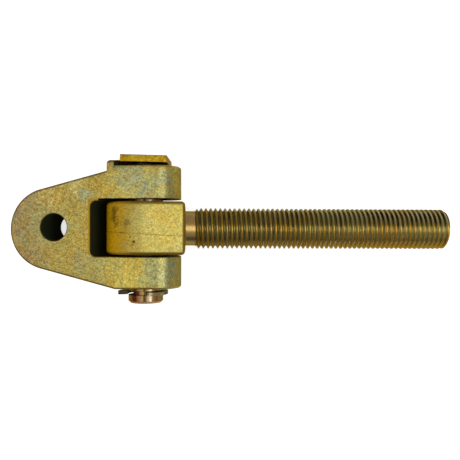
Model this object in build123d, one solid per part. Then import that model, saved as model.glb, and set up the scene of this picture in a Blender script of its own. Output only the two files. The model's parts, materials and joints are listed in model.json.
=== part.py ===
"""Clevis rod end: a forged fork and a threaded eye rod that swing on a plain pin.

Each piece is drawn about the pin axis: the pin lies along Y, the rod points along +X and Z is up.
The head of the pin is on the +Y side. The two arms of the joint are then laid down as they rest on
a flat surface, and the whole is moved so that the bottom centre of its box is the origin.
"""
import math
import os

from build123d import *

# ---- driving dimensions, millimetres and degrees ----

# pin
pin_diameter = 25.0
pin_bore_gap = 0.08          # radial, in the eye
pin_arm_gap = 0.2            # radial, in the fork's arms
pin_end_overhang = 10.9      # plain end, beyond the clip side arm
pin_end_chamfer = 1.5
plate_float = 1.3            # between the head plate and its arm
clip_float = 2.2             # between the clip and its arm
spigot_diameter = 18.0       # turned down to carry the head plate
spigot_chamfer = 0.6
clip_groove_diameter = 18.0
clip_groove_play = 0.3       # groove is this much wider than the clip is thick

# head plate
plate_side = 33.0
plate_thickness = 5.0
plate_offset = 0.5           # plate sits off the pin's axis, toward the rod
plate_skew = 1.6             # loose on its spigot, it sits askew in plan
plate_tip = 2.0              # and its lower edge is nearer the arm
plate_bore_gap = 0.2
plate_burr = 0.5

# retaining clip, an E-shaped stamping
clip_thickness = 2.6
clip_outer_radius = 18.0
clip_land_radius = 11.0      # the three lands that ride in the groove
clip_relief_radius = 13.4    # between the lands
clip_mouth_throat = 16.0
clip_mouth_rim = 25.0
clip_mouth_turn = 28.0       # mouth leans from straight up toward the fork's nose
clip_back_land = 34.0        # angle that the middle land covers
clip_prong_land = 30.0       # angle that each prong's land covers
clip_shift = -1.9            # the loose clip hangs to the nose side
clip_corner = 1.0

# eye rod
eye_radius = 28.0
eye_face = 28.5              # pin axis to the flat shoulder at the neck
eye_width = 37.0
eye_edge = 2.4
eye_offset = -0.65           # the eye runs nearer the clip side arm
shank_lean = 0.2             # the shank is this far from square with the bore
eye_bore_chamfer = 1.0
neck_diameter = 25.0
neck_length = 7.1
neck_root = 0.8
thread_diameter = 30.0
thread_length = 185.8
thread_chamfer = 2.0

# fork
fork_thickness = 38.0
hole_distance = 62.0         # pin axis to cross hole
hole_diameter = 19.2
hole_chamfer = 0.5
nose_radius = 29.6
nose_overhang = 3.2          # centre of the nose beyond the cross hole
taper_angle = 14.5
arm_span = 86.9              # over the machined outer faces
arm_end_radius = 25.6
arm_corner = 9.0             # seen from the side, where an arm's flats meet its round end
arm_blend = 12.0             # between the tapers and the arms
arm_stock = 1.0              # forged thicker, then machined to the span
forging_offset = -1.15       # the raw forging sits off the machined centre plane
forging_draft = 1.5
forging_edge = 1.8
arm_bore_chamfer = 0.6
slot_floor = 35.2            # pin axis to the bottom of the slot
slot_edge = 1.0
pocket_width = 39.0          # as forged
pocket_corner = 4.0
cheek_span = 40.4            # machined for the eye
cheek_reach = 29.4           # how far behind the pin axis the cheek is machined

# lug that stops the head plate turning
lug_near = 18.0              # from the pin axis
lug_length = 5.2
lug_height = 5.8             # above the arm at the parting line
lug_draft = 7.0
lug_edge = 1.4
plate_lug_gap = 0.3          # left where the plate's corner has turned to the lug

# ---- worked out ----
fork_half = fork_thickness / 2
arm_half = arm_span / 2
nose_centre = hole_distance + nose_overhang
pin_radius = pin_diameter / 2
plate_seat = arm_half + plate_float
clip_inner_face = arm_half + clip_float
pin_end = arm_half + pin_end_overhang
thread_start = eye_face + neck_length
rod_tip = thread_start + thread_length
thread_radius = thread_diameter / 2
beyond = 2 * (arm_half + arm_end_radius)     # longer than any cut needs


def rest_angles():
    """Pin height, rod droop and fork droop with the rod's tip, eye and fork's nose all touching."""
    corner = eye_radius - eye_edge
    face_corner = eye_face - eye_edge
    tip_reach = rod_tip - thread_chamfer - face_corner
    tip_rise = thread_radius - corner
    rod_droop = math.asin(eye_edge / math.hypot(tip_reach, tip_rise)) - math.atan2(tip_rise, tip_reach)
    height = face_corner * math.sin(rod_droop) + corner * math.cos(rod_droop) + eye_edge
    edge_level = fork_half - forging_edge
    draft = math.radians(forging_draft)
    wall = nose_centre + nose_radius - edge_level * math.tan(draft)
    edge_reach = wall - forging_edge / math.cos(draft)
    lean = math.atan2(edge_level, edge_reach)
    fork_droop = math.asin((height - forging_edge) / math.hypot(edge_reach, edge_level)) - lean
    return height, math.degrees(rod_droop), math.degrees(fork_droop)


def fork_outline():
    """The forging's outline at its parting plane: round nose, straight tapers, parallel arms."""
    turn = math.radians(taper_angle)
    back = -nose_centre - nose_radius * math.sin(turn)
    rise = nose_radius * math.cos(turn)
    sides = {1: forging_offset + rise, -1: forging_offset - rise}
    raw_half = arm_half + arm_stock
    meets = {side: back + (raw_half - side * y) / math.tan(turn) for side, y in sides.items()}
    nose = ThreePointArc(
        (back, sides[-1]),
        (-nose_centre - nose_radius, forging_offset),
        (back, sides[1]),
    )
    end = arm_end_radius + 1
    arms = Polyline(
        (back, sides[1]),
        (meets[1], raw_half),
        (end, raw_half),
        (end, -raw_half),
        (meets[-1], -raw_half),
        (back, sides[-1]),
    )
    outline = make_face([nose, arms])
    knees = [v for v in outline.vertices() if v.X < end - 1e-3 and abs(abs(v.Y) - raw_half) < 1e-6]
    return fillet(knees, arm_blend)


def fork_side():
    """The fork seen from the side: a flat bar whose end is round about the pin."""
    bar = Pos(-beyond / 2, 0) * Rectangle(beyond, fork_thickness)
    end = Circle(arm_end_radius) & Rectangle(beyond, fork_thickness)
    side = bar + end
    corners = [v for v in side.vertices() if v.X > 1e-3]
    return Plane.XZ * fillet(corners, arm_corner)


def fork_blank():
    """The forging before machining, with drafted walls and rounded edges."""
    outline = fork_outline()
    upper = extrude(outline, fork_half, taper=forging_draft)
    drafted = upper + mirror(upper, Plane.XY)
    blank = drafted & extrude(fork_side(), arm_half, both=True)
    rims = [e for e in blank.edges() if abs(abs(e.center().Z) - fork_half) < 1e-3]
    ends = [e for e in blank.edges() if e.center().X > 0 and abs(abs(e.center().Y) - arm_half) < 1e-3]
    level = [e for e in rims if abs(e.center().Y) > 1e-3 and e not in ends]
    return fillet(level + ends, forging_edge)


def plate_lug():
    """The forged lug on the head side arm, highest at the parting plane and rooted inside the arm."""
    top = arm_half + lug_height
    fall = fork_half * math.tan(math.radians(lug_draft))
    root = (cheek_span / 2 + arm_half) / 2
    section = Polyline(
        (root, -fork_half),
        (top - fall, -fork_half),
        (top, 0),
        (top - fall, fork_half),
        (root, fork_half),
        close=True,
    )
    lug = extrude(Plane.YZ.offset(-lug_near - lug_length) * make_face(section), lug_length)
    crown = [e for e in lug.edges() if e.center().Y > arm_half]
    return fillet([e for e in crown if abs(e.center().X + lug_near + lug_length / 2) > 1e-3], lug_edge)


def slot_cutter():
    """The space between the arms: the forged pocket and the machined cheeks."""
    length = slot_floor + beyond
    pocket = Pos((beyond - slot_floor) / 2, forging_offset) * Rectangle(length, pocket_width)
    pocket = fillet([v for v in pocket.vertices() if v.X < 0], pocket_corner)
    cheeks = Pos((beyond - cheek_reach) / 2, 0) * Rectangle(cheek_reach + beyond, cheek_span)
    return extrude(pocket + cheeks, fork_thickness, both=True)


def pin_bore_cutter(gap, half_span, mouth_chamfer):
    """The space for the pin, with a chamfer at each mouth."""
    bore_radius = pin_radius + gap
    mouth_radius = bore_radius + mouth_chamfer
    profile = Polyline(
        (0, 0),
        (bore_radius, 0),
        (bore_radius, half_span - mouth_chamfer),
        (mouth_radius, half_span),
        (mouth_radius, beyond),
        (0, beyond),
        close=True,
    )
    half = revolve(make_face(profile), Axis.Y)
    return half + mirror(half, Plane.XZ)


def round_rims(shape, radius):
    """The circular edges of one radius, such as the mouths of a bore."""
    return [
        e for e in shape.edges()
        if e.geom_type == GeomType.CIRCLE and abs(e.radius - radius) < 1e-4
    ]


def slot_rims(fork):
    """The forged edges of the slot: round its floor and along the wall that is left as forged."""
    forged_wall = forging_offset - pocket_width / 2
    pocket_top = forging_offset + pocket_width / 2
    level = [e for e in fork.edges() if abs(e.tangent_at(0.5).Z) < 0.99]
    wall = [e for e in level if abs(e.center().Y - forged_wall) < 1e-3]
    floor = [
        e for e in level
        if -slot_floor - 1e-3 < e.center().X < -cheek_reach and forged_wall < e.center().Y < pocket_top + 1e-3
    ]
    return wall + floor


def make_fork():
    fork = fork_blank() + plate_lug() - slot_cutter()
    fork = fillet(slot_rims(fork), slot_edge)
    hole_radius = hole_diameter / 2
    fork -= Pos(-hole_distance, 0) * Cylinder(hole_radius, fork_thickness)
    fork = chamfer(round_rims(fork, hole_radius), hole_chamfer)
    return fork - pin_bore_cutter(pin_arm_gap, arm_half, arm_bore_chamfer)


def make_eye():
    """The forged eye: round behind the pin, square to the shoulder, rounded all over."""
    side = Circle(eye_radius) + Pos(eye_face / 2, 0) * Rectangle(eye_face, 2 * eye_radius)
    eye = extrude(Plane.XZ * side, eye_width / 2, both=True)
    smooth = [e for e in eye.edges() if abs(e.center().X) < 1e-3 and e.geom_type == GeomType.LINE]
    return fillet([e for e in eye.edges() if e not in smooth], eye_edge)


def make_eye_rod():
    neck_radius = neck_diameter / 2
    profile = Polyline(
        (0, 0),
        (0, neck_radius),
        (thread_start, neck_radius),
        (thread_start + thread_chamfer, thread_radius),
        (rod_tip - thread_chamfer, thread_radius),
        (rod_tip, thread_radius - thread_chamfer),
        (rod_tip, 0),
        close=True,
    )
    rod = make_eye() + revolve(make_face(profile), Axis.X)
    root = [e for e in round_rims(rod, neck_radius) if abs(e.center().X - eye_face) < 1e-3]
    rod = Pos(0, eye_offset, 0) * Rot(0, 0, -shank_lean) * fillet(root, neck_root)
    return rod - Pos(0, eye_offset, 0) * pin_bore_cutter(pin_bore_gap, eye_width / 2, eye_bore_chamfer)


def make_pin():
    groove_near = clip_inner_face - clip_groove_play / 2
    groove_far = groove_near + clip_thickness + clip_groove_play
    groove_radius = clip_groove_diameter / 2
    spigot_radius = spigot_diameter / 2
    plate_face = plate_seat + plate_thickness
    profile = Polyline(
        (0, -pin_end),
        (pin_radius - pin_end_chamfer, -pin_end),
        (pin_radius, -pin_end + pin_end_chamfer),
        (pin_radius, -groove_far),
        (groove_radius, -groove_far),
        (groove_radius, -groove_near),
        (pin_radius, -groove_near),
        (pin_radius, plate_seat),
        (spigot_radius, plate_seat),
        (spigot_radius, plate_face - spigot_chamfer),
        (spigot_radius - spigot_chamfer, plate_face),
        (0, plate_face),
        close=True,
    )
    return revolve(make_face(profile), Axis.Y)


def make_head_plate():
    plate = Box(plate_side, plate_thickness, plate_side)
    outer_rim = plate.faces().sort_by(Axis.Y)[-1].edges()
    plate = chamfer(outer_rim, plate_burr)
    bore_radius = spigot_diameter / 2 + plate_bore_gap
    plate = Pos(plate_offset, 0, 0) * plate - Rot(90, 0, 0) * Cylinder(bore_radius, 2 * plate_thickness)
    lift = pin_radius * math.sin(math.radians(math.hypot(plate_skew, plate_tip)))
    return Pos(0, plate_seat + plate_thickness / 2 + lift, 0) * Rot(-plate_tip, 0, -plate_skew) * plate


def clip_sector(start, finish, radius):
    """A wedge of the clip's relief, with its angles measured from the mouth."""
    reach = 2 * radius
    angles = [math.radians(90 - start), math.radians(90 - (start + finish) / 2), math.radians(90 - finish)]
    spokes = [(reach * math.cos(a), reach * math.sin(a)) for a in angles]
    wedge = make_face(Polyline((0, 0), *spokes, close=True))
    return wedge & Circle(radius)


def clip_mouth():
    throat_half = clip_mouth_throat / 2
    rim_half = clip_mouth_rim / 2
    throat_level = math.sqrt(clip_land_radius ** 2 - throat_half ** 2)
    rim_level = math.sqrt(clip_outer_radius ** 2 - rim_half ** 2)
    slope = (rim_half - throat_half) / (rim_level - throat_level)
    top_half = rim_half + slope * (clip_outer_radius - rim_level)
    return make_face(Polyline(
        (-throat_half, 0),
        (-throat_half, throat_level),
        (-top_half, clip_outer_radius),
        (top_half, clip_outer_radius),
        (throat_half, throat_level),
        (throat_half, 0),
        close=True,
    ))


def make_clip():
    """Drawn with its mouth up, then stood across the pin with the mouth leaning to the nose."""
    prong_end = math.degrees(math.asin(clip_mouth_throat / 2 / clip_land_radius)) + clip_prong_land
    back_end = 180 - clip_back_land / 2
    opening = Circle(clip_land_radius) + clip_mouth()
    relief = clip_sector(prong_end, back_end, clip_relief_radius)
    opening = opening + relief + mirror(relief, Plane.YZ)
    outline = Circle(clip_outer_radius) - opening
    tips = [v for v in outline.vertices() if math.hypot(v.X, v.Y) > clip_outer_radius - 1e-3]
    outline = fillet(tips, clip_corner)
    stood = Plane.XZ.offset(clip_inner_face) * Pos(clip_shift, 0) * Rot(0, 0, clip_mouth_turn) * outline
    return extrude(stood, clip_thickness)


def plate_turn():
    """How far the head plate has turned in the fork before its lower corner meets the lug."""
    half = plate_side / 2
    near = half - plate_offset
    reach = (lug_near - plate_lug_gap) / math.hypot(near, half)
    return math.degrees(math.atan2(half, near) - math.acos(min(reach, 1)))


height, rod_droop, fork_droop = rest_angles()
pin_turn = plate_turn() - fork_droop
pieces = {
    "clevis_body": Rot(0, -fork_droop, 0) * make_fork(),
    "eye_rod": Rot(0, rod_droop, 0) * make_eye_rod(),
    "clevis_pin": Rot(0, pin_turn, 0) * make_pin(),
    "pin_head_plate": Rot(0, pin_turn, 0) * make_head_plate(),
    "retaining_clip": Rot(0, pin_turn, 0) * make_clip(),
}
boxes = [piece.bounding_box() for piece in pieces.values()]
low = [min(getattr(box.min, axis) for box in boxes) for axis in "XYZ"]
high = [max(getattr(box.max, axis) for box in boxes) for axis in "XYZ"]
to_origin = Pos(-(low[0] + high[0]) / 2, -(low[1] + high[1]) / 2, -low[2])

os.makedirs("parts", exist_ok=True)
for name, piece in pieces.items():
    export_step(to_origin * piece, f"parts/{name}.step")

axis_place = to_origin.position
print(f"pin axis at {axis_place.X:.4f} {axis_place.Y:.4f} {axis_place.Z:.4f}, floor gap {height:.4f}")
print(f"rod droop {rod_droop:.4f}, fork droop {fork_droop:.4f}, pin turn {pin_turn:.4f}")
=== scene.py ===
import bpy
import json
import math
from mathutils import Matrix, Vector


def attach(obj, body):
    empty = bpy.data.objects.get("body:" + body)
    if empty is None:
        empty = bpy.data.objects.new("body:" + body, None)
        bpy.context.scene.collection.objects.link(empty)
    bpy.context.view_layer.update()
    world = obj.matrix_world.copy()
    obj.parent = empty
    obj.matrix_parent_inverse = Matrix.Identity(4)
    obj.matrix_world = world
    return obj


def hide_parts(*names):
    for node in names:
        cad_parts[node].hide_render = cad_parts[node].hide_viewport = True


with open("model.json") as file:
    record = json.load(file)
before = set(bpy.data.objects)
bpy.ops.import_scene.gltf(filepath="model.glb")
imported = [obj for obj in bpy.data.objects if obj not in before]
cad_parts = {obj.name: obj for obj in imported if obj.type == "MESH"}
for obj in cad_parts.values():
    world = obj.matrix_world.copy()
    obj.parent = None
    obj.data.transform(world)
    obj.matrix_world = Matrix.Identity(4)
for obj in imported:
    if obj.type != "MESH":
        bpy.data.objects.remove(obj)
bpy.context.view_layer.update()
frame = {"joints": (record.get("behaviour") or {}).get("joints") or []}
bpy.ops.object.select_all(action="DESELECT")

mm = 0.001
touch = 0.01                 # mm, places nearer than this count as one
apart = 1                    # mm, and places farther than this as clearly apart
pinAxis = Vector(frame["joints"][0]["pos_m"])

# how the pieces lie at rest, degrees about the pin
restTurn = {
    "fork": -6.7089,
    "rod": 3.8491,
    "pin": -0.4637,
}


def toEdit():
    bpy.ops.object.mode_set(mode="EDIT")


def toObject():
    bpy.ops.object.mode_set(mode="OBJECT")


def pickAll():
    toEdit()
    bpy.ops.mesh.select_all(action="SELECT")


def pickNone():
    bpy.ops.object.select_all(action="DESELECT")


def makeActive(piece):
    pickNone()
    piece.select_set(True)
    bpy.context.view_layer.objects.active = piece


# pieces are drawn in millimetres about the pin, rod toward +X, and then laid in place
def layDown(piece, turn):
    makeActive(piece)
    spin = Matrix.Rotation(math.radians(restTurn[turn]), 4, "Y")
    piece.matrix_world = Matrix.Translation(pinAxis) @ spin @ Matrix.Scale(mm, 4)
    bpy.ops.object.transform_apply(location=True, rotation=True, scale=True)


def clearPick(kind):
    toEdit()
    bpy.ops.mesh.select_mode(type=kind)
    bpy.ops.mesh.select_all(action="DESELECT")
    toObject()


def pickVerts(piece, wanted):
    clearPick("VERT")
    for vertex in piece.data.vertices:
        vertex.select = wanted(vertex.co)
    toEdit()


# an edge is picked by the places of its two ends
def pickEdges(piece, wanted):
    clearPick("EDGE")
    spots = piece.data.vertices
    for edge in piece.data.edges:
        first, second = edge.vertices
        edge.select = wanted(spots[first].co, spots[second].co)
    toEdit()


def roundPicked(width, steps):
    bpy.ops.mesh.bevel(offset=width, segments=steps, affect="EDGES")
    toObject()


# with no window, transform.rotate turns the other way
def turnPicked(degrees, axis):
    bpy.ops.transform.rotate(value=-math.radians(degrees), orient_axis=axis, center_override=(0, 0, 0))


# one cut round the active piece, through all its faces
def scorePiece(place, normal):
    pickAll()
    bpy.ops.mesh.bisect(plane_co=place, plane_no=normal)
    toObject()


# both ends lie on the same one of two faces, each half off the middle
def onOneFace(first, second, half):
    return abs(first + second) > 2 * (half - touch)


def addBlock(name, low, high):
    pickNone()
    middle = [(a + b) / 2 for a, b in zip(low, high)]
    span = [b - a for a, b in zip(low, high)]
    bpy.ops.mesh.primitive_cube_add(size=1, location=middle, scale=span)
    piece = bpy.context.object
    piece.name = name
    bpy.ops.object.transform_apply(location=True, scale=True)
    return piece


# a plane is merged to one point, and the point is extruded along the profile
def drawProfile(name, points):
    pickNone()
    bpy.ops.mesh.primitive_plane_add(size=1, location=points[0])
    piece = bpy.context.object
    piece.name = name
    bpy.ops.object.transform_apply(location=True)
    toEdit()
    bpy.ops.mesh.select_mode(type="VERT")
    bpy.ops.mesh.select_all(action="SELECT")
    bpy.ops.mesh.merge(type="CENTER")
    for spot, following in zip(points, points[1:]):
        step = [b - a for a, b in zip(spot, following)]
        bpy.ops.mesh.extrude_vertices_move(TRANSFORM_OT_translate={"value": step})
    toObject()
    return piece


# edit mode's last step on a closed shell: all its faces point outwards
def pointOutwards():
    bpy.ops.mesh.select_all(action="SELECT")
    bpy.ops.mesh.normals_make_consistent(inside=False)
    toObject()


# a half profile, from axis to axis, is spun into a closed round piece
def turnProfile(name, points, axis, centre, steps):
    piece = drawProfile(name, points)
    pickAll()
    bpy.ops.mesh.spin(steps=steps, angle=math.tau, center=centre, axis=axis)
    bpy.ops.mesh.select_all(action="SELECT")
    bpy.ops.mesh.remove_doubles(threshold=0.001)
    pointOutwards()
    return piece


# an outline is filled and pulled into a slab
def pullOutline(name, points, reach):
    piece = drawProfile(name, points)
    pickAll()
    bpy.ops.mesh.edge_face_add()
    bpy.ops.mesh.extrude_region_move(TRANSFORM_OT_translate={"value": reach})
    pointOutwards()
    return piece


def arcPoints(centre, radius, start, finish, steps):
    angles = [math.radians(start + (finish - start) * k / steps) for k in range(steps + 1)]
    return [(centre[0] + radius * math.cos(a), centre[1] + radius * math.sin(a)) for a in angles]


def applyModifier(piece, modifier):
    makeActive(piece)
    bpy.ops.object.modifier_apply(modifier=modifier.name)


def combine(piece, tool, operation):
    boolean = piece.modifiers.new("combine", "BOOLEAN")
    boolean.operation = operation
    boolean.solver = "EXACT"
    boolean.object = tool
    applyModifier(piece, boolean)
    bpy.data.objects.remove(tool)


def smoothPiece(piece, angle):
    makeActive(piece)
    bpy.ops.object.shade_smooth_by_angle(angle=math.radians(angle))
    weighted = piece.modifiers.new("weighted", "WEIGHTED_NORMAL")
    weighted.keep_sharp = True
    applyModifier(piece, weighted)


def seatPiece(piece, turn, body, node):
    layDown(piece, turn)
    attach(piece, body)
    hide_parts(node)


# the forged fork: round tongue, tapering sides, two arms and the lug for the head plate
fork = {
    "thickness": 38,
    "tongueReach": 62,    # pin to cross hole
    "tongueHole": 9.6,
    "tongueHoleMouth": 0.5,
    "noseRadius": 29.6,
    "noseBeyondHole": 3.2,
    "taper": 14.5,
    "armBlend": 12,       # between the tapers and the arms
    "span": 86.9,         # over the machined faces of the arms
    "stock": 1,
    "overrun": 6,         # the forging is drawn this far past the arms
    "barStart": -110,     # and the bar that shapes their ends starts behind the nose
    "armEnd": 25.6,
    "armCorner": 12,      # where the flats meet the round end, at 13 the boolean fails
    "armBore": 12.7,
    "armBoreMouth": 0.6,
    "offset": -1.15,      # the forging sits off its machined middle
    "draft": 0.983,       # the outline shrinks to this at the flat faces
    "edge": 1.7,
    "slotFloor": 35.2,
    "pocketHalf": 19.5,
    "pocketCorner": 4,
    "cheekHalf": 20.2,
    "cheekReach": 29.4,
    "slotTall": 30,
    "slotOverrun": 8,
    "slotEdge": 1,
    "wallEnd": 12,        # past this the wall's edges lie on the round end
    "pinToLug": 18,
    "lugLength": 5.2,
    "lugHeight": 5.8,
    "lugRoot": 10,        # how deep the lug is sunk into the arm
    "lugFall": 2.3,
    "lugEdge": 2,
    "padReach": 8,        # the pad beside the lug, past the pin
    "padStep": 0.12,      # and how far below the flats it lies
    "padRoot": 12,
    "padEdge": 1.02,
}
noseMiddle = -fork["tongueReach"] - fork["noseBeyondHole"]


# one side of the forging in plan, from the nose to past the arm's end
def forkSide(side):
    lean, ease, offset, radius = fork["taper"], fork["armBlend"], fork["offset"], fork["noseRadius"]
    turn = math.radians(lean)
    rawHalf = fork["span"] / 2 + fork["stock"]
    tangent = noseMiddle - radius * math.sin(turn)
    meets = tangent + (rawHalf - side * offset - radius * math.cos(turn)) / math.tan(turn)
    knee = (meets + ease * math.tan(turn / 2), rawHalf - ease)
    nose = arcPoints((noseMiddle, side * offset), radius, 180, 90 + lean, 48)
    bend = arcPoints(knee, ease, 90 + lean, 90, 8)
    end = (fork["armEnd"] + fork["overrun"], rawHalf)
    return [(x, side * y) for x, y in nose + bend + [end]]


def makeForkBlank():
    half, draft = fork["thickness"] / 2, fork["draft"]
    outline = list(reversed(forkSide(-1)))[:-1] + forkSide(1)
    blank = pullOutline("forkForging", [(x, y, -half) for x, y in outline], (0, 0, 2 * half))
    scorePiece((0, 0, 0), (0, 0, 1))
    pickVerts(blank, lambda v: abs(v.z) > half - touch)
    bpy.ops.transform.resize(value=(draft, draft, 1), center_override=(noseMiddle, fork["offset"], 0))
    toObject()
    pickEdges(blank, lambda a, b: onOneFace(a.z, b.z, half))
    roundPicked(fork["edge"], 4)
    return blank


# the fork from the side: a flat bar that ends round about the pin
def makeArmEnds():
    half, reach = fork["thickness"] / 2, fork["span"] / 2
    corner, start = fork["armCorner"], fork["barStart"]
    level = half - corner
    across = math.sqrt((fork["armEnd"] - corner) ** 2 - level ** 2)
    turn = math.degrees(math.atan2(level, across))
    upper = arcPoints((across, level), corner, 90, turn, 20)
    end = arcPoints((0, 0), fork["armEnd"], turn, -turn, 64)
    lower = arcPoints((across, -level), corner, -turn, -90, 20)
    outline = [(start, half)] + upper + end[1:-1] + lower + [(start, -half)]
    bar = pullOutline("armEnds", [(x, -reach, z) for x, z in outline], (0, 2 * reach, 0))
    pickEdges(bar, lambda a, b: onOneFace(a.y, b.y, reach) and max(a.x, b.x) > start + apart)
    roundPicked(fork["edge"], 4)
    return bar


# the ridge across the lug's middle stays sharp
def makeLug():
    half, outer = fork["thickness"] / 2, fork["span"] / 2
    near, far = -fork["pinToLug"], -fork["pinToLug"] - fork["lugLength"]
    root, crest = outer - fork["lugRoot"], outer + fork["lugHeight"]
    lug = addBlock("plateLug", (far, root, -half), (near, crest, half))
    scorePiece((0, 0, 0), (0, 0, 1))
    pickVerts(lug, lambda v: v.y > outer and abs(v.z) > apart)
    bpy.ops.transform.translate(value=(0, -fork["lugFall"], 0))
    toObject()
    pickEdges(lug, lambda a, b: min(a.y, b.y) > outer and not (abs(a.x - b.x) > apart and abs(a.z) < apart))
    roundPicked(fork["lugEdge"], 4)
    return lug


# the raised pad that the facing cut left level with the arm, beside the lug
def makePad():
    half, outer = fork["thickness"] / 2 - fork["padStep"], fork["span"] / 2 - touch
    low = (-fork["pinToLug"] - apart, outer - fork["padRoot"], -half)
    pad = addBlock("facedPad", low, (fork["padReach"], outer, half))
    pickEdges(pad, lambda a, b: min(a.y, b.y) > outer - apart and abs(a.z - b.z) < touch)
    roundPicked(fork["padEdge"], 3)
    return pad


def makeSlot():
    floor, far, tall = fork["slotFloor"], fork["armEnd"] + fork["slotOverrun"], fork["slotTall"]
    offset, pocket, cheek = fork["offset"], fork["pocketHalf"], fork["cheekHalf"]
    slot = addBlock("slotPocket", (-floor, offset - pocket, -tall), (far, offset + pocket, tall))
    pickEdges(slot, lambda a, b: a.x < 0 and b.x < 0 and abs(a.z - b.z) > apart)
    roundPicked(fork["pocketCorner"], 8)
    tall, far = tall + apart, far + apart
    cheeks = addBlock("slotCheeks", (-fork["cheekReach"], -cheek, -tall), (far, cheek, tall))
    combine(slot, cheeks, "UNION")
    return slot


# the slot's forged edges are round, the machined ones stay crisp
def roundSlot(piece):
    offset, pocket, half = fork["offset"], fork["pocketHalf"], fork["thickness"] / 2
    wall, wallEnd = offset - pocket, fork["wallEnd"]
    start, end = -fork["slotFloor"] - touch, -fork["cheekReach"] + touch

    def forged(a, b):
        level = onOneFace(a.z, b.z, half)
        behind = min(a.x, b.x) > start and max(a.x, b.x) < end
        onFloor = level and behind and abs(a.y + b.y - 2 * offset) < 2 * (pocket + touch)
        onWall = max(abs(a.y - wall), abs(b.y - wall)) < touch and (level or min(a.x, b.x) > wallEnd)
        return onFloor or onWall

    pickEdges(piece, forged)
    roundPicked(fork["slotEdge"], 3)


# a cutter for a hole, chamfered at both mouths and running on past them
def roundHole(name, radius, mouth, half, axis, centre):
    past, wide = 2, radius + mouth
    profile = [(0, -half - past), (wide + past, -half - past), (wide, -half), (radius, -half + mouth)]
    profile = profile + [(r, -a) for r, a in reversed(profile)]
    spots = [(centre[0] + r, centre[1], a) for r, a in profile]
    direction = (0, 0, 1)
    if axis == "Y":
        spots = [(centre[0] + r, centre[1] + a, 0) for r, a in profile]
        direction = (0, 1, 0)
    return turnProfile(name, spots, direction, centre, 128)


def makeFork():
    half, outer, reach = fork["thickness"] / 2, fork["span"] / 2, fork["tongueReach"]
    piece = makeForkBlank()
    combine(piece, makeArmEnds(), "INTERSECT")
    combine(piece, makeLug(), "UNION")
    combine(piece, makePad(), "UNION")
    combine(piece, makeSlot(), "DIFFERENCE")
    roundSlot(piece)
    hole = roundHole("tongueHole", fork["tongueHole"], fork["tongueHoleMouth"], half, "Z", (-reach, 0, 0))
    combine(piece, hole, "DIFFERENCE")
    bores = roundHole("armBores", fork["armBore"], fork["armBoreMouth"], outer, "Y", (0, 0, 0))
    combine(piece, bores, "DIFFERENCE")
    smoothPiece(piece, 28)
    seatPiece(piece, "fork", "clevis", "clevis_body")
    return piece


# eye, neck and threaded shank, one forging
rod = {
    "eyeRadius": 27.91,
    "eyeFace": 28.5,
    "eyeHalf": 18.5,
    "eyeEdge": 2.6,
    "eyeCorner": 2.7,     # just over the edge, so that it can turn there
    "flashRise": 0.08,    # what is left of the parting line
    "flashHalf": 0.7,
    "flashEnd": 20,
    "flashPlace": -4,
    "flashLean": 0.06,
    "offset": -0.65,      # the eye runs nearer the clip side arm
    "lean": -0.2,         # degrees, the shank is not quite square with the bore
    "bore": 12.58,
    "boreMouth": 1,
    "collarStart": 14,    # the neck is rooted inside the eye
    "neck": 12.5,
    "neckRoot": 0.8,
    "neckEnd": 35.6,
    "coneLap": 0.1,       # the thread runs out in a cone, from inside the neck
    "coneDepth": 1.2,
    "coneBack": 2,
    "tip": 221.4,
    "tipChamfer": 2,
    "pitch": 3.5,
    "lead": 3,            # turns hidden in the neck
    "spare": 2,           # and cut off past the tip
    "major": 15,
    "crest": 14.75,
    "rootRadius": 12.62,
    "flankAngle": 30,
    "rootShare": 0.275,   # half the root, of what the flanks leave of a pitch
    "shoulder": 0.94,     # along the flank, where it starts to round
    "shoulderDrop": 0.13,
    "crestEase": 0.08,
}


def makeEye():
    radius, face, half, corner = rod["eyeRadius"], rod["eyeFace"], rod["eyeHalf"], rod["eyeCorner"]
    place, lean, flash = rod["flashPlace"], rod["flashLean"], rod["flashHalf"]
    back = arcPoints((0, 0), radius, 90, 270, 96)
    lower = arcPoints((face - corner, corner - radius), corner, -90, 0, 6)
    upper = arcPoints((face - corner, radius - corner), corner, 0, 90, 6)
    outline = back + lower + upper
    eye = pullOutline("eyeRodForging", [(x, -half, z) for x, z in outline], (0, 2 * half, 0))
    pickEdges(eye, lambda a, b: onOneFace(a.y, b.y, half))
    roundPicked(rod["eyeEdge"], 5)
    for shift in (-flash, 0, flash):      # three cuts carry the flash along the parting line
        scorePiece((0, place + shift, 0), (lean, 1, 0))
    pickVerts(eye, lambda v: abs(v.y - place + lean * v.x) < touch and v.x < rod["flashEnd"])
    bpy.ops.transform.shrink_fatten(value=rod["flashRise"])
    toObject()
    return eye


# half a tooth and its mirror image, as places along the shank and out from its axis
def toothPoints():
    pitch, crest, root = rod["pitch"], rod["crest"], rod["rootRadius"]
    flank = (crest - root) * math.tan(math.radians(rod["flankAngle"]))
    low = (pitch - 2 * flank) * rod["rootShare"]
    shoulder = (low + flank * rod["shoulder"], crest - rod["shoulderDrop"])
    half = [(0, root), (low, root), shoulder, (low + flank + rod["crestEase"], crest)]
    return half + [(pitch - x, r) for x, r in reversed(half)]


# the thread is cut to this: run-out cone, bar and tip
def makeShankOutline():
    neck, major, end, tip, chamfer = rod["neck"], rod["major"], rod["neckEnd"], rod["tip"], rod["tipChamfer"]
    depth, meets, slope = rod["coneDepth"], end - rod["coneLap"], (major - neck) / chamfer
    outline = [(end - rod["coneBack"], 0), (meets - depth, neck - depth * slope), (meets + chamfer, major)]
    outline = outline + [(tip - chamfer, major), (tip, major - chamfer), (tip, 0)]
    return turnProfile("shankOutline", [(x, 0, r) for x, r in outline], (1, 0, 0), (0, 0, 0), 96)


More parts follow.
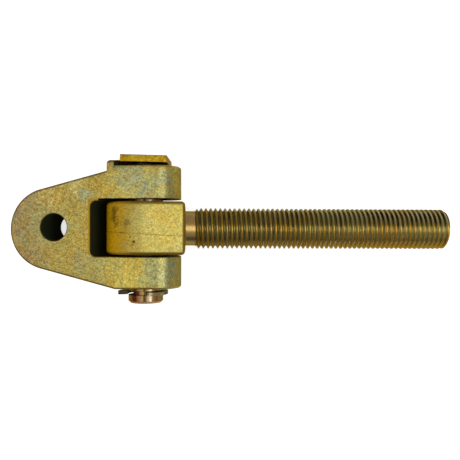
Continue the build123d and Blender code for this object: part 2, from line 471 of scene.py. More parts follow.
# a tooth is wound along the shank and closed at both ends
def makeThread():
    pitch = rod["pitch"]
    start = rod["neckEnd"] - rod["lead"] * pitch
    thread = drawProfile("shankThread", [(start + x, 0, r) for x, r in toothPoints()])
    screw = thread.modifiers.new("helix", "SCREW")
    screw.axis = "X"
    screw.screw_offset = pitch
    screw.iterations = math.ceil((rod["tip"] - start) / pitch) + rod["spare"]
    screw.steps = 72
    screw.render_steps = 72
    screw.use_merge_vertices = False
    screw.use_normal_calculate = False
    applyModifier(thread, screw)
    pickAll()
    bpy.ops.mesh.remove_doubles(threshold=0.002)
    bpy.ops.mesh.select_all(action="DESELECT")
    bpy.ops.mesh.select_mode(type="EDGE")
    bpy.ops.mesh.select_non_manifold()
    bpy.ops.mesh.fill_holes(sides=0)
    pointOutwards()
    combine(thread, makeShankOutline(), "INTERSECT")
    return thread


def makeEyeRod():
    start, end, face = rod["collarStart"], rod["neckEnd"], rod["eyeFace"]
    neck, root = rod["neck"], rod["neckRoot"]
    piece = makeEye()
    fillet = arcPoints((face + root, neck + root), root, 180, 270, 5)
    collar = [(start, 0), (start, neck + root)] + fillet + [(end, neck), (end, 0)]
    combine(piece, turnProfile("neck", [(x, 0, r) for x, r in collar], (1, 0, 0), (0, 0, 0), 128), "UNION")
    combine(piece, makeThread(), "UNION")
    pickVerts(piece, lambda v: True)
    turnPicked(rod["lean"], "Z")
    bpy.ops.transform.translate(value=(0, rod["offset"], 0))
    toObject()
    bore = roundHole("eyeBore", rod["bore"], rod["boreMouth"], rod["eyeHalf"], "Y", (0, rod["offset"], 0))
    combine(piece, bore, "DIFFERENCE")
    smoothPiece(piece, 32)
    seatPiece(piece, "rod", "rod", "eye_rod")
    return piece


# plain pin, turned down for the head plate and grooved for the clip
pin = {
    "radius": 12.5,
    "end": -54.34,
    "endChamfer": 1.5,
    "groove": 9,
    "grooveNear": -45.5,
    "grooveFar": -48.4,
    "seat": 44.75,
    "spigot": 9,
    "spigotEnd": 49.75,
    "spigotChamfer": 0.6,
    "break": 0.2,         # turned edges are just broken
    "bow": 0.4,           # the part of that by which the chamfer's corners bow out
}


def makePin():
    radius, end, chamfer, ease = pin["radius"], pin["end"], pin["endChamfer"], pin["break"]
    groove, near, far = pin["groove"], pin["grooveNear"], pin["grooveFar"]
    seat, spigot, top = pin["seat"], pin["spigot"], pin["spigotEnd"]
    bow = ease * pin["bow"]
    profile = [
        (0, end),
        (radius - chamfer - ease, end),
        (radius - chamfer, end + bow),
        (radius - bow, end + chamfer),
        (radius, end + chamfer + ease),
        (radius, far - ease),
        (radius - ease, far),
        (groove, far),
        (groove, near),
        (radius - ease, near),
        (radius, near + ease),
        (radius, seat - ease),
        (radius - ease, seat),
        (spigot, seat),
        (spigot, top - pin["spigotChamfer"]),
        (spigot - pin["spigotChamfer"], top),
        (0, top),
    ]
    piece = turnProfile("clevisPin", [(r, y, 0) for r, y in profile], (0, 1, 0), (0, 0, 0), 160)
    smoothPiece(piece, 20)
    seatPiece(piece, "pin", "clevis", "clevis_pin")
    return piece


# square head plate, sheared from flat bar, loose on the spigot
plate = {
    "half": 16.5,
    "thickness": 5,
    "shift": 0.5,         # off the pin toward the rod
    "bore": 9.2,
    "boreMouth": 0.2,
    "burr": 0.5,
    "ease": 0.25,
    "lift": 0.559,        # clear of the seat at its low corner
    "skew": -1.6,
    "tip": -2,
}


def makePlate():
    half, thick, shift = plate["half"], plate["thickness"] / 2, plate["shift"]
    piece = addBlock("headPlate", (shift - half, -thick, -half), (shift + half, thick, half))
    pickEdges(piece, lambda a, b: min(a.y, b.y) > 0)
    roundPicked(plate["burr"], 3)
    pickEdges(piece, lambda a, b: max(a.y, b.y) < 0 or abs(a.y - b.y) > apart and min(a.y, b.y) < 0)
    roundPicked(plate["ease"], 2)
    bore = roundHole("plateBore", plate["bore"], plate["boreMouth"], thick, "Y", (0, 0, 0))
    combine(piece, bore, "DIFFERENCE")
    pickVerts(piece, lambda v: True)
    turnPicked(plate["skew"], "Z")
    turnPicked(plate["tip"], "X")
    bpy.ops.transform.translate(value=(0, pin["seat"] + thick + plate["lift"], 0))
    toObject()
    smoothPiece(piece, 30)
    seatPiece(piece, "pin", "clevis", "pin_head_plate")
    return piece


# E-shaped stamping, loose in the pin's groove
clip = {
    "near": -45.65,
    "thickness": 2.6,
    "outer": 18,
    "land": 11,
    "relief": 13.4,
    "throat": 16,
    "rim": 25,
    "turn": 28,           # its mouth leans toward the nose
    "shift": -1.9,
    "backLand": 34,
    "prongLand": 30,
    "corner": 1,
    "edge": 0.35,
}


# angles are measured from the mouth
def clipArc(radius, start, finish, steps):
    turned = [90 + clip["turn"] - angle for angle in (start, finish)]
    return arcPoints((clip["shift"], 0), radius, turned[0], turned[1], steps)


def makeClip():
    outer, land, relief = clip["outer"], clip["land"], clip["relief"]
    rim = math.degrees(math.asin(clip["rim"] / 2 / outer))
    throat = math.degrees(math.asin(clip["throat"] / 2 / land))
    prong, back = throat + clip["prongLand"], 180 - clip["backLand"] / 2
    outline = clipArc(outer, rim, 360 - rim, 120)
    outline = outline + clipArc(land, 360 - throat, 360 - prong, 8)
    outline = outline + clipArc(relief, 360 - prong, 360 - back, 24)
    outline = outline + clipArc(land, 360 - back, back, 10)
    outline = outline + clipArc(relief, back, prong, 24) + clipArc(land, prong, throat, 8)
    near, thick = clip["near"], clip["thickness"]
    piece = pullOutline("retainingClip", [(x, near, z) for x, z in outline], (0, -thick, 0))
    tips = clipArc(outer, rim, 360 - rim, 1)

    def atTip(a, b):
        return abs(a.y - b.y) > apart and min(math.dist((a.x, a.z), tip) for tip in tips) < touch

    pickEdges(piece, atTip)
    roundPicked(clip["corner"], 5)
    pickEdges(piece, lambda a, b: abs(a.y - b.y) < touch)
    roundPicked(clip["edge"], 3)
    smoothPiece(piece, 30)
    seatPiece(piece, "pin", "clevis", "retaining_clip")
    return piece


# a socket takes a link or a constant
def feed(tree, socket, value):
    if isinstance(value, bpy.types.NodeSocket):
        tree.links.new(value, socket)
    elif isinstance(value, tuple) and len(value) == 3 and socket.type == "RGBA":
        socket.default_value = (*value, 1)
    else:
        socket.default_value = value


def addNode(tree, kind, inputs=(), **settings):
    node = tree.nodes.new("ShaderNode" + kind)
    for name, value in settings.items():
        setattr(node, name, value)
    for name, value in dict(inputs).items():
        feed(tree, node.inputs[name], value)
    return node


def blend(tree, factor, first, second, mode="MIX"):
    node = addNode(tree, "Mix", data_type="RGBA", blend_type=mode, clamp_factor=True)
    for place, value in ((0, factor), (6, first), (7, second)):
        feed(tree, node.inputs[place], value)
    return node.outputs[2]


def reckon(tree, operation, first, second=0.0):
    node = addNode(tree, "Math", operation=operation)
    feed(tree, node.inputs[0], first)
    feed(tree, node.inputs[1], second)
    return node.outputs[0]


# a value between two marks becomes 0 to 1, or the range named
def rise(tree, value, low, high, start=0.0, finish=1.0):
    marks = {"Value": value, "From Min": low, "From Max": high, "To Min": start, "To Max": finish}
    return addNode(tree, "MapRange", marks, interpolation_type="SMOOTHSTEP").outputs["Result"]


# the same for a place, between two marks in mm
def fade(tree, place, low, high, start=0.0, finish=1.0):
    return rise(tree, place, low * mm, high * mm, start, finish)


# a stretch from one place to another in mm, soft at both ends
def stretch(tree, place, low, high, soft, finish=1.0):
    return allOf(tree, fade(tree, place, low, low + soft, 0, finish), fade(tree, place, high, high - soft))


def joinAll(tree, operation, masks):
    total = masks[0]
    for mask in masks[1:]:
        total = reckon(tree, operation, total, mask)
    return total


def allOf(tree, *masks):
    return joinAll(tree, "MULTIPLY", masks)


def anyOf(tree, *masks):
    return joinAll(tree, "MAXIMUM", masks)


def pairUp(tree, operation, first, second):
    node = addNode(tree, "VectorMath", operation=operation)
    feed(tree, node.inputs[0], first)
    feed(tree, node.inputs[1], second)
    return node.outputs


def noise(tree, place, scale, detail, roughness=0.5, distortion=0.0):
    inputs = {"Vector": place, "Scale": scale, "Detail": detail, "Roughness": roughness}
    return addNode(tree, "TexNoise", inputs | {"Distortion": distortion}).outputs["Fac"]


# the three parts of a texture coordinate
def axes(tree, kind):
    return addNode(tree, "SeparateXYZ", {"Vector": addNode(tree, "TexCoord").outputs[kind]}).outputs


# each socket's name and kind, one tuple of names to a kind
def newGroup(name, inputs, outputs):
    tree = bpy.data.node_groups.new(name, "ShaderNodeTree")
    for side, sockets in (("INPUT", inputs), ("OUTPUT", outputs)):
        for kind, labels in sockets.items():
            for label in labels:
                tree.interface.new_socket(label, in_out=side, socket_type="NodeSocket" + kind)
    return tree, tree.nodes.new("NodeGroupInput").outputs, tree.nodes.new("NodeGroupOutput").inputs


def useGroup(tree, group, inputs):
    node = addNode(tree, "Group", node_tree=group)
    for name, value in inputs.items():
        feed(tree, node.inputs[name], value)
    return node.outputs


# cloudy patches and the fine grain of plated, shot-blasted steel
grainMarks = {
    "patch": (0.4, 0.62),
    "second": (0.42, 0.6),
    "speckle": (0.34, 0.66),
    "secondScale": 0.63,  # against the first patches
    "lumpScale": 0.4,     # against the grain
    "lumpShare": 0.3,
    "fineShare": 0.7,
}


def makeGrainGroup():
    marks = grainMarks
    inputs = {"Float": ("Patch Scale", "Grain Scale", "Shift")}
    outputs = {"Float": ("Patch", "Second Patch", "Grain", "Height")}
    tree, given, made = newGroup("platedGrain", inputs, outputs)
    place = addNode(tree, "TexCoord").outputs["Object"]
    shifted = pairUp(tree, "ADD", place, given["Shift"])["Vector"]
    wide = allOf(tree, given["Patch Scale"], marks["secondScale"])
    coarse = allOf(tree, given["Grain Scale"], marks["lumpScale"])
    patch = noise(tree, shifted, given["Patch Scale"], detail=5.0, roughness=0.62, distortion=0.4)
    second = noise(tree, place, wide, detail=6.0, roughness=0.68, distortion=0.8)
    fine = noise(tree, place, given["Grain Scale"], detail=2.0, roughness=0.7)
    lump = noise(tree, place, coarse, detail=3.0, roughness=0.6)
    fine, lump = allOf(tree, fine, marks["fineShare"]), allOf(tree, lump, marks["lumpShare"])
    both = reckon(tree, "ADD", fine, lump)
    cells = addNode(tree, "TexVoronoi", {"Vector": place, "Scale": given["Grain Scale"]})
    fleck = addNode(tree, "SeparateColor", {"Color": cells.outputs["Color"]}).outputs["Red"]
    speckle = reckon(tree, "ADD", rise(tree, both, *marks["speckle"]), fleck)
    feed(tree, made["Patch"], rise(tree, patch, *marks["patch"]))
    feed(tree, made["Second Patch"], rise(tree, second, *marks["second"]))
    feed(tree, made["Grain"], allOf(tree, speckle, 0.5))
    feed(tree, made["Height"], both)
    return tree


# edges where the plating is thin: the rounded normal turns away from the face there
edgeMarks = {
    "turned": (0.995, 0.9),
    "scale": 260.0,
    "broken": 0.3,        # below this the noise breaks the edge
    "whole": 0.62,        # and above this it doesn't
    "least": 0.35,        # what stays of a broken edge
}


def makeEdgeGroup():
    marks = edgeMarks
    tree, given, made = newGroup("thinEdge", {"Float": ("Width", "Break")}, {"Float": ("Edge",)})
    rounded = addNode(tree, "Bevel", {"Radius": given["Width"]}, samples=6).outputs["Normal"]
    flat = addNode(tree, "NewGeometry").outputs["Normal"]
    edge = rise(tree, pairUp(tree, "DOT_PRODUCT", rounded, flat)["Value"], *marks["turned"])
    broken = noise(tree, addNode(tree, "TexCoord").outputs["Object"], marks["scale"], detail=4.0)
    keep = anyOf(tree, rise(tree, broken, given["Break"], marks["whole"]), marks["least"])
    feed(tree, made["Edge"], allOf(tree, edge, keep))
    return tree


# a soft uneven spot about one place
spotMarks = {
    "scale": 320.0,
    "uneven": (0.35, 0.65, -0.35, 0.35),
    "soft": (1.0, 0.2),
}


def makeSpotGroup():
    inputs = {"Vector": ("Place",), "Float": ("Size",)}
    tree, given, made = newGroup("softSpot", inputs, {"Float": ("Mask",)})
    place = addNode(tree, "TexCoord").outputs["Object"]
    away = pairUp(tree, "DISTANCE", place, given["Place"])["Value"]
    uneven = noise(tree, place, spotMarks["scale"], detail=4.0, roughness=0.65)
    reach = reckon(tree, "DIVIDE", away, given["Size"])
    worn = reckon(tree, "ADD", reach, rise(tree, uneven, *spotMarks["uneven"]))
    feed(tree, made["Mask"], rise(tree, worn, *spotMarks["soft"]))
    return tree


# the plating's colour from its tints, patches, grain and edges
def makePlatingGroup():
    roughSwing = 0.06
    inputs = {
        "Color": ("Base", "Warm", "Cool", "Bare"),
        "Float": ("Patch", "Second Patch", "Grain", "Edge", "Contrast"),
    }
    tree, given, made = newGroup("zincPlating", inputs, {"Color": ("Color",), "Float": ("Roughness",)})
    colour = blend(tree, given["Patch"], given["Base"], given["Warm"])
    colour = blend(tree, given["Second Patch"], colour, given["Cool"])
    low = reckon(tree, "SUBTRACT", 1.0, given["Contrast"])
    high = reckon(tree, "ADD", 1.0, given["Contrast"])
    span = addNode(tree, "MapRange", {"Value": given["Grain"], "To Min": low, "To Max": high})
    light = span.outputs["Result"]
    grey = addNode(tree, "CombineColor", {"Red": light, "Green": light, "Blue": light}).outputs["Color"]
    colour = blend(tree, 1.0, colour, grey, "MULTIPLY")
    feed(tree, made["Color"], blend(tree, given["Edge"], colour, given["Bare"]))
    feed(tree, made["Roughness"], rise(tree, given["Grain"], 0.0, 1.0, roughSwing, -roughSwing))
    return tree


def useGrain(tree, groups, values):
    return useGroup(tree, groups["grain"], {
        "Patch Scale": values["patch"],
        "Grain Scale": values["grain"],
        "Shift": values["shift"],
    })


def useEdge(tree, groups, values):
    inputs = {"Width": values["edge"] * mm, "Break": edgeMarks["broken"]}
    return useGroup(tree, groups["edge"], inputs)["Edge"]


# the warm and cool patches keep a share of the base colour
def usePlating(tree, groups, grain, values, base, shares, edge, contrast):
    inputs = {name: grain[name] for name in ("Patch", "Second Patch", "Grain")}
    for tint, share in zip(("warm", "cool"), shares):
        inputs[tint.capitalize()] = blend(tree, share, base, values[tint])
    inputs = inputs | {"Base": base, "Bare": values["bare"], "Edge": edge, "Contrast": contrast}
    return useGroup(tree, groups["plating"], inputs)


# soft spots of one tint over a colour
def addSpots(tree, groups, colour, spots, tint, share):
    for place, size in spots:
        spot = useGroup(tree, groups["spot"], {"Place": atPin(*place), "Size": size * mm})
        colour = blend(tree, allOf(tree, spot["Mask"], share), colour, tint)
    return colour


def newMaterial(name):
    material = bpy.data.materials.new(name)
    material.use_nodes = True
    return material, material.node_tree, material.node_tree.nodes["Principled BSDF"]


def dress(piece, material):
    piece.data.materials.clear()
    piece.data.materials.append(material)


# a place on the piece, from the pin's axis in mm
def atPin(x, y, z):
    return tuple(pinAxis + mm * Vector((x, y, z)))


# yellow plating stays golden where it is seen edge on
edgeTint = (0.85, 0.68, 0.38)


# the plating's own roughness is added to the one given
def finishSurface(tree, surface, values, grain, made, colour, rough, metal):
    relief = {"Height": grain["Height"], "Strength": values["bump"], "Distance": values["depth"] * mm}
    looks = {
        "Base Color": colour,
        "Roughness": reckon(tree, "ADD", made["Roughness"], rough),
        "Metallic": metal,
        "Specular IOR Level": values["specular"],
        "Specular Tint": edgeTint,
        "Normal": addNode(tree, "Bump", relief).outputs["Normal"],
    }
    for name, value in looks.items():
        feed(tree, surface.inputs[name], value)


# places on a piece as it was drawn, before it was laid down, in metres
def asDrawn(tree, turn, shift=0, lean=0):
    laid = addNode(tree, "Mapping", {
        "Vector": addNode(tree, "TexCoord").outputs["Object"],
        "Location": atPin(0, shift, 0),
        "Rotation": (0, math.radians(restTurn[turn]), math.radians(lean)),
    }, vector_type="TEXTURE")
    return addNode(tree, "SeparateXYZ", {"Vector": laid.outputs["Vector"]}).outputs


# how far the surface faces one way, 1 straight along it
def facing(tree, axis):
    return axes(tree, "Normal")[axis]


forkFinish = {
    "base": (0.36, 0.265, 0.056),
    "arm": (0.49, 0.39, 0.08),
    "warm": (0.38, 0.24, 0.036),
    "cool": (0.29, 0.28, 0.11),
    "bare": (0.13, 0.065, 0.008),
    "violet": (0.22, 0.15, 0.09),
    "pale": (0.52, 0.45, 0.18),
    "blue": (0.27, 0.345, 0.235),
    "shade": (0.27, 0.265, 0.105),
    # painted shade for the slot, the cross hole and the lug's corner
    "recessShade": (0.030, 0.032, 0.014),
    # painted highlight on the slot's mouth and lip
    "mouth": (0.30, 0.175, 0.01),
    "rough": 0.42,
    "metal": 0.9,
    "specular": 0.0,
    "bump": 0.35,
    "depth": 0.12,
    "patch": 70.0,
    "grain": 1150.0,
    "shift": 0.0,
    "edge": 1.1,
    "contrast": 0.5,
    "tintShares": (0.55, 0.6),
    "rimShare": 0.75,
    "spotShares": {"violet": 0.6, "pale": 0.85, "blue": 0.9},
    "blueSpots": (
        ((-9, 36, 18), 13),
        ((2, 27, 18), 10),
        ((13, 33, 16), 10),
        ((11, -34, 17), 13),
        ((18, -28, 14), 8),
        ((-41, 24, 18), 8),
    ),
    "paleSpots": (
        ((-68, 24, 18), 15),
        ((-48, 30, 18), 11),
    ),
    "violetSpots": (
        ((-88, 14, 19), 14),
        ((-80, -20, 19), 17),
        ((-48, -22, 19), 11),
        ((-21, 46, 18), 9),
        ((-90, -6, 19), 14),
    ),
}

# each mask's marks, from none to full, and its range where that isn't 0 to 1
# they are places on the piece as it was drawn, in mm
forkMarks = {
    "arm": (-34, -8),
    "violet": (-50, -96, 0, 0.75),
    "shade": (-1, 13, 0, 0.65),
    "shadeEnd": (24, 15, 0.2, 1),
    "rimEnd": (16, 8),
    "mouthSide": (23, 22),
    "mouthFloor": (-38, -37),
    "lipSide": (20.5, 19),
    "lipFloor": (-37, -36.2, 0, 0.9),
    "nook": (-12, -14),
    "slotSide": (21.5, 21),
    "slotFloor": (-fork["slotFloor"] - 1, -fork["slotFloor"]),
    "slotEnd": (17, 14),
    "slotTop": (fork["thickness"] / 2 - 0.5, fork["thickness"] / 2 - 2),
    "hole": (fork["tongueHole"] + 0.45, fork["tongueHole"] + 0.05),
    "topTurn": (0.96, 0.78),    # these are by how far the surface faces one way
    "footTurn": (0.15, 0.4),
    "nookTurn": (0.4, 0.8),
}


def forkBase(tree, groups, along):
    values, marks = forkFinish, forkMarks
    base = blend(tree, fade(tree, along, *marks["arm"]), values["base"], values["arm"])
    base = blend(tree, fade(tree, along, *marks["violet"]), base, values["violet"])
    for tint, share in values["spotShares"].items():
        base = addSpots(tree, groups, base, values[tint + "Spots"], values[tint], share)
    # painted shade darkens the arms toward their round ends
    end = allOf(tree, fade(tree, along, *marks["shade"]), fade(tree, along, *marks["shadeEnd"]))
    return blend(tree, end, base, values["shade"])


# the rounded edge about the slot's mouth and the lip over its floor are golden, a painted highlight where
# they catch the light
def forkMouthHighlight(tree, along, side, rim):
    marks, beside = forkMarks, reckon(tree, "ABSOLUTE", side)
    mouth = allOf(tree, fade(tree, beside, *marks["mouthSide"]), fade(tree, along, *marks["mouthFloor"]))
    lip = allOf(tree, fade(tree, beside, *marks["lipSide"]), fade(tree, along, *marks["lipFloor"]))
    return anyOf(tree, allOf(tree, rim, mouth), lip)


# inside the slot, the cross hole and the lug's corner, painted shade makes the surface dull and nearly black
def forkRecessShade(tree, along, side, up):
    marks, beside = forkMarks, reckon(tree, "ABSOLUTE", side)
    slot = allOf(tree, fade(tree, beside, *marks["slotSide"]), fade(tree, along, *marks["slotFloor"]))
    slot = allOf(tree, slot, fade(tree, along, *marks["slotEnd"]), fade(tree, up, *marks["slotTop"]))
    flat = addNode(tree, "CombineXYZ", {"X": along, "Y": side}).outputs["Vector"]
    away = pairUp(tree, "DISTANCE", flat, Vector((-fork["tongueReach"] * mm, 0, 0)))["Value"]
    nook = allOf(tree, rise(tree, facing(tree, "X"), *marks["nookTurn"]), fade(tree, along, *marks["nook"]))
    return anyOf(tree, nook, slot, fade(tree, away, *marks["hole"]))


def makeForkFinish(groups):
    values, marks = forkFinish, forkMarks
    material, tree, surface = newMaterial("forkFinish")
    grain = useGrain(tree, groups, values)
    along, side, up = asDrawn(tree, "fork")
    level = facing(tree, "Z")
    rim = allOf(tree, rise(tree, level, *marks["topTurn"]), rise(tree, level, *marks["footTurn"]))
    rim = allOf(tree, rim, fade(tree, along, *marks["rimEnd"]))
    edge = anyOf(tree, useEdge(tree, groups, values), allOf(tree, rim, values["rimShare"]))
    base = forkBase(tree, groups, along)
    made = usePlating(tree, groups, grain, values, base, values["tintShares"], edge, values["contrast"])
    colour = blend(tree, forkMouthHighlight(tree, along, side, rim), made["Color"], values["mouth"])
    recessShade = forkRecessShade(tree, along, side, up)
    colour = blend(tree, recessShade, colour, values["recessShade"])
    metal = allOf(tree, reckon(tree, "SUBTRACT", 1.0, recessShade), values["metal"])
    finishSurface(tree, surface, values, grain, made, colour, values["rough"], metal)
    return material


rodFinish = {
    "base": (0.40, 0.325, 0.085),
    "warm": (0.38, 0.24, 0.02),
    "cool": (0.34, 0.31, 0.10),
    "bare": (0.24, 0.12, 0.006),
    # painted shade toward the eye's round end
    "roundShade": (0.28, 0.22, 0.055),
    "rust": (0.60, 0.33, 0.001),
    "pit": (0.03, 0.02, 0.008),
    "seam": (0.09, 0.06, 0.02),
    "neck": (0.45, 0.275, 0.105),
    "crest": (0.48, 0.28, 0.03),
    "flank": (0.54, 0.48, 0.28),
    # painted shade in the thread's grooves
    "root": (0.05, 0.04, 0.02),
    "rough": 0.42,
    "shankRough": 0.32,
    "metal": 0.95,
    "rustMetal": 0.25,
    "specular": 0.1,
    "bump": 0.3,
    "depth": 0.1,
    "patch": 90.0,
    "grain": 1300.0,
    "shift": 0.3,
    "contrast": 0.36,
    "shankContrast": 0.4,   # against the eye's
    "tintShare": 0.4,
    "rustShare": 0.95,
    "smudgeShare": 0.5,
    "smudges": (((-20, 8, 19), 6), ((-18, 4, 21), 5), ((-10, 3, 26), 4.5), ((-18, 13, 20), 5)),
    "pits": (((-4.5, -10, 28), 1.5), ((-5.5, -12.5, 28), 1.8), ((24, 3.5, 26.5), 1.4), ((-7, -6.5, 27), 1)),
}

# masks like the fork's
rodMarks = {
    "flank": (rod["rootRadius"] + 0.1, rod["rootRadius"] + 0.8),
    "crest": (rod["crest"] - 0.7, rod["crest"] - 0.25),
    "tip": (rod["tip"] - 0.6, rod["tip"] - 0.2),
    "shank": (rod["eyeFace"], rod["eyeFace"] + 0.4),
    "thread": (rod["neckEnd"], rod["neckEnd"] + 0.8),
    "rust": (-1, -23),
    "roundShade": (6, -14),
    "seam": (0.55, 0.1),
    "face": (20, 24),
    "cheekTurn": (0.15, 0.7, 0, 0.7),
    "faceTurn": (0.2, 0.6, 0, 0.7),
    "flatTurn": (0.99, 0.9),
    "seamBreak": (0.0, 0.6, 0.25, 0.75),
}


# painted shade toward the eye's round end, rust toward the nose, dark smudges, the parting line and pits
def eyeBase(tree, groups, grain, along, side, rusty):
    values, marks = rodFinish, rodMarks
    eye = blend(tree, fade(tree, along, *marks["roundShade"]), values["base"], values["roundShade"])
    eye = blend(tree, allOf(tree, rusty, values["rustShare"]), eye, values["rust"])
    eye = addSpots(tree, groups, eye, values["smudges"], values["pit"], values["smudgeShare"])
    leaning = reckon(tree, "ADD", side, allOf(tree, along, rod["flashLean"]))
    fromSeam = reckon(tree, "ABSOLUTE", reckon(tree, "ADD", leaning, -rod["flashPlace"] * mm))
    seam = allOf(tree, fade(tree, fromSeam, *marks["seam"]), rise(tree, grain["Patch"], *marks["seamBreak"]))
    eye = blend(tree, seam, eye, values["seam"])
    return addSpots(tree, groups, eye, values["pits"], values["pit"], 1.0)


# a plain neck, then the thread by how far it lies from the axis; the dark root colour is painted shade in
# the grooves
def shankBase(tree, along, side, up):
    values, marks = rodFinish, rodMarks
    square = reckon(tree, "ADD", reckon(tree, "POWER", side, 2.0), reckon(tree, "POWER", up, 2.0))
    out = reckon(tree, "SQRT", square)
    bright = anyOf(tree, fade(tree, out, *marks["crest"]), fade(tree, along, *marks["tip"]))
    thread = blend(tree, fade(tree, out, *marks["flank"]), values["root"], values["flank"])
    thread = blend(tree, bright, thread, values["crest"])
    return blend(tree, fade(tree, along, *marks["thread"]), values["neck"], thread)


# darker, orange-brown edges round the eye's cheeks and its end face
def eyeRim(tree, along):
    marks, sideways, endways = rodMarks, reckon(tree, "ABSOLUTE", facing(tree, "Y")), facing(tree, "X")
    cheek = allOf(tree, rise(tree, sideways, *marks["cheekTurn"]), rise(tree, sideways, *marks["flatTurn"]))
    face = allOf(tree, rise(tree, endways, *marks["faceTurn"]), rise(tree, endways, *marks["flatTurn"]))
    return anyOf(tree, cheek, allOf(tree, face, fade(tree, along, *marks["face"])))


def makeRodFinish(groups):
    values, marks = rodFinish, rodMarks
    material, tree, surface = newMaterial("rodFinish")
    grain = useGrain(tree, groups, values)
    along, side, up = asDrawn(tree, "rod", rod["offset"], -rod["lean"])
    onShank, rusty = fade(tree, along, *marks["shank"]), fade(tree, along, *marks["rust"])
    onEye = reckon(tree, "SUBTRACT", 1.0, onShank)
    onRust = allOf(tree, rusty, onEye)
    eye = eyeBase(tree, groups, grain, along, side, rusty)
    base = blend(tree, onShank, eye, shankBase(tree, along, side, up))
    tinted = allOf(tree, reckon(tree, "SUBTRACT", 1.0, onRust), values["tintShare"])
    contrast = rise(tree, onEye, 0.0, 1.0, values["shankContrast"], 1.0)
    edge, contrast = allOf(tree, eyeRim(tree, along), onEye), allOf(tree, contrast, values["contrast"])
    made = usePlating(tree, groups, grain, values, base, (tinted, tinted), edge, contrast)
    rough = rise(tree, onShank, 0.0, 1.0, values["rough"], values["shankRough"])
    metal = rise(tree, onRust, 0.0, 1.0, values["metal"], values["rustMetal"])
    finishSurface(tree, surface, values, grain, made, made["Color"], rough, metal)
    return material


smallFinishes = {
    "pin": {
        "base": (0.46, 0.25, 0.17),
        "warm": (0.40, 0.15, 0.12),
        "cool": (0.52, 0.38, 0.20),
        "bare": (0.50, 0.38, 0.10),
        "rough": 0.16,
        "metal": 1.0,
        "bump": 0.1,
        "depth": 0.05,
        "patch": 120.0,
        "grain": 700.0,
        "edge": 0.5,
        "contrast": 0.12,
    },
    "plate": {
        "base": (0.40, 0.235, 0.009),
        "warm": (0.28, 0.14, 0.006),
        "cool": (0.42, 0.29, 0.02),
        "bare": (0.12, 0.06, 0.008),
        "rough": 0.36,
        "metal": 0.95,
        "bump": 0.3,
        "depth": 0.08,
        "patch": 200.0,
        "grain": 900.0,
        "edge": 0.7,
        "contrast": 0.36,
    },
    "clip": {
        "base": (0.25, 0.22, 0.10),
        "warm": (0.08, 0.065, 0.025),
        "cool": (0.29, 0.27, 0.13),
        "bare": (0.03, 0.025, 0.012),
        "rough": 0.3,
        "metal": 0.9,
        "bump": 0.15,
        "depth": 0.05,
        "patch": 220.0,
        "grain": 900.0,
        "edge": 0.6,
        "contrast": 0.4,
    },
}
smallShared = {"specular": 0.1, "shift": 0.7}


# the pin's colours run in bands along it, each at its place across it in mm: partly the plating's tints,
# while the near-black stripe and the brightest bands are painted reflections
pinTintsAndReflections = (
    (-12.5, (0.45, 0.25, 0.04)),
    (-9.2, (0.22, 0.09, 0.02)),
    (-7.2, (0.09, 0.024, 0.005)),
    (-4.6, (0.14, 0.045, 0.011)),
    (-2.8, (0.17, 0.09, 0.042)),
    (-0.6, (0.21, 0.17, 0.05)),
    (0.2, (0.03, 0.02, 0.002)),
    (1.6, (0.03, 0.02, 0.002)),
    (2.6, (0.13, 0.10, 0.045)),
    (5.0, (0.30, 0.23, 0.19)),
    (6.3, (0.55, 0.29, 0.09)),
    (8.6, (0.33, 0.13, 0.035)),
    (12.5, (0.25, 0.18, 0.09)),
)

# they fade out where the surface turns toward the pin's ends
barrelTurn = (0.6, 0.4, 0, 0.95)


# a new ramp already has its two end steps
def bandTintsAndReflections(tree, across):
    reach = pin["radius"]
    spread = addNode(tree, "MapRange", {"Value": across, "From Min": -reach * mm, "From Max": reach * mm})
    bands = addNode(tree, "ValToRGB", {"Fac": spread.outputs["Result"]})
    steps = bands.color_ramp.elements
    for place, colour in pinTintsAndReflections[1:-1]:
        steps.new((place + reach) / (2 * reach)).color = (*colour, 1)
    steps[0].color = (*pinTintsAndReflections[0][1], 1)
    steps[-1].color = (*pinTintsAndReflections[-1][1], 1)
    return bands.outputs["Color"]


# painted shade in the narrow gaps, along the pin in mm: from, to, how soft and how strong
paintedShade = {
    "colour": (0.012, 0.010, 0.005),
    "onPin": (
        (43.2, 45.6, 0.2, 1),
        (-22.5, -17.5, 0.5, 1),
        (16.5, 22.5, 0.5, 0.4),
    ),
    "plateBack": (-0.3, -0.7),
    "prong": (-9, -11, 0, 0.85),
}


# painted shade on the pin under the plate and beside the eye, on the plate's back and on one prong of the
# clip
def paintedShadeMask(tree, name, across, height):
    if name == "plate":
        return rise(tree, facing(tree, "Y"), *paintedShade["plateBack"])
    if name == "clip":
        return fade(tree, across, *paintedShade["prong"])
    return anyOf(tree, *(stretch(tree, height, *place) for place in paintedShade["onPin"]))


def makeSmallFinish(groups, name):
    values = smallFinishes[name] | smallShared
    material, tree, surface = newMaterial(name + "Finish")
    grain = useGrain(tree, groups, values)
    edge = useEdge(tree, groups, values)
    made = usePlating(tree, groups, grain, values, values["base"], (1.0, 1.0), edge, values["contrast"])
    place = axes(tree, "Object")
    across = reckon(tree, "SUBTRACT", place["X"], pinAxis.x)
    height = reckon(tree, "SUBTRACT", place["Y"], pinAxis.y)
    colour = made["Color"]
    if name == "pin":
        barrel = rise(tree, reckon(tree, "ABSOLUTE", facing(tree, "Y")), *barrelTurn)
        colour = blend(tree, barrel, colour, bandTintsAndReflections(tree, across))
    shaded = paintedShadeMask(tree, name, across, height)
    # the painted shade darkens the colour and takes the metal away
    colour = blend(tree, shaded, colour, paintedShade["colour"])
    metal = rise(tree, shaded, 0.0, 1.0, values["metal"], 0.0)
    finishSurface(tree, surface, values, grain, made, colour, values["rough"], metal)
    return material


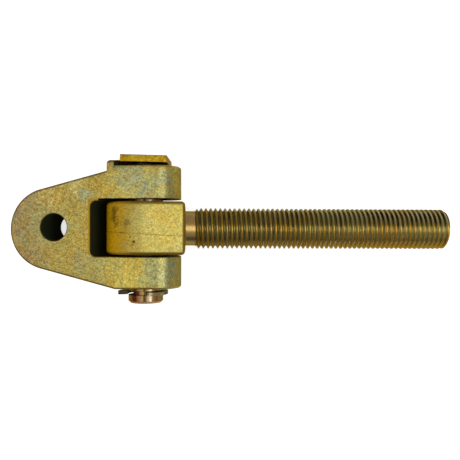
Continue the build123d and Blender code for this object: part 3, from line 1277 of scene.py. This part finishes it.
# the camera looks straight down from beside the pin
camera = {
    "offset": (61.04, -1.96, 447.2),
    "lens": 48.21,
    "sensor": 36,
}


def addCamera():
    seen = bpy.data.cameras.new("camera")
    seen.sensor_width = camera["sensor"]
    seen.lens = camera["lens"]
    cameraObject = bpy.data.objects.new("camera", seen)
    cameraObject.location = atPin(*camera["offset"])
    bpy.context.scene.collection.objects.link(cameraObject)
    bpy.context.scene.camera = cameraObject


studio = {
    "floor": 0.75,
    "floorSize": 6,
    "floorRough": 0.9,
    "floorLift": 0.685,   # seen straight on, the floor is paper white
    "floorGleam": 0.03,   # and pale in the metal
    "shadow": (0.1, 0.1, 0.08),
    "shadowSide": (26, 24),  # it is dark under the slot, mm off the pin
    "shadowStart": (-44, -40),
    "shadowEnd": (9, 5),
    "softboxes": (        # place, size and power, one each side of the camera and a narrow one
        ((-0.9, -0.02, 1.05), (1.4, 0.52), 2.9),
        ((0.45, -0.02, 1.05), (1.09, 0.52), 4.7),
        ((0.65, -0.02, 1.0), (0.08, 0.4), 0.4),
    ),
    "side": 0.46,
    "front": 0.02,        # the room is darker toward the clip side
    "frontTurn": (-0.9, -0.78),
    "roomGleam": 0.03,    # the white background hardly shows in the metal
}


# rays that come by way of metal or glass
def mirrored(tree, path):
    return anyOf(tree, path["Is Glossy Ray"], path["Is Transmission Ray"])


def floorShadow(tree):
    place = axes(tree, "Object")
    across = reckon(tree, "ABSOLUTE", reckon(tree, "SUBTRACT", place["Y"], pinAxis.y))
    after = reckon(tree, "SUBTRACT", place["X"], pinAxis.x)
    inside = fade(tree, across, *studio["shadowSide"])
    behind, before = (fade(tree, after, *studio[mark]) for mark in ("shadowStart", "shadowEnd"))
    return allOf(tree, inside, behind, before)


def addFloor():
    pickNone()
    bpy.ops.mesh.primitive_plane_add(size=studio["floorSize"])
    floor = bpy.context.object
    floor.name = "floor"
    material, tree, surface = newMaterial("floorWhite")
    path = addNode(tree, "LightPath").outputs
    shadow = floorShadow(tree)
    lift = rise(tree, shadow, 0.0, 1.0, studio["floorLift"], 0.0)
    straight = allOf(tree, path["Is Camera Ray"], lift)
    gleam = allOf(tree, mirrored(tree, path), studio["floorGleam"])
    looks = {
        "Base Color": blend(tree, shadow, (studio["floor"],) * 3, studio["shadow"]),
        "Roughness": studio["floorRough"],
        "Specular IOR Level": 0,
        "Emission Color": (1, 1, 1),
        "Emission Strength": reckon(tree, "ADD", straight, gleam),
    }
    for name, value in looks.items():
        feed(tree, surface.inputs[name], value)
    dress(floor, material)


def addLights():
    world = bpy.data.worlds.new("studio")
    bpy.context.scene.world = world
    world.use_nodes = True
    tree = world.node_tree
    front = rise(tree, axes(tree, "Generated")["Y"], *studio["frontTurn"], studio["front"], studio["side"])
    path = addNode(tree, "LightPath").outputs
    shown = anyOf(tree, path["Is Camera Ray"], allOf(tree, mirrored(tree, path), studio["roomGleam"]))
    feed(tree, tree.nodes["Background"].inputs["Strength"], anyOf(tree, front, shown))
    tree.nodes["Background"].inputs["Color"].default_value = (1, 1, 1, 1)
    for place, size, watts in studio["softboxes"]:
        lamp = bpy.data.lights.new("softbox", "AREA")
        lamp.shape = "RECTANGLE"
        lamp.size, lamp.size_y = size
        lamp.energy = watts
        softbox = bpy.data.objects.new("softbox", lamp)
        softbox.location = place
        bpy.context.scene.collection.objects.link(softbox)


def main():
    print("fork")
    forkPiece = makeFork()
    print("rod")
    rodPiece = makeEyeRod()
    print("pin, plate and clip")
    small = {"pin": makePin(), "plate": makePlate(), "clip": makeClip()}
    print("finishes")
    groups = {
        "grain": makeGrainGroup(),
        "edge": makeEdgeGroup(),
        "spot": makeSpotGroup(),
        "plating": makePlatingGroup(),
    }
    dress(forkPiece, makeForkFinish(groups))
    dress(rodPiece, makeRodFinish(groups))
    for name, piece in small.items():
        dress(piece, makeSmallFinish(groups, name))
    print("stage")
    bpy.context.scene.view_settings.view_transform = "Standard"
    addCamera()
    addFloor()
    addLights()


main()
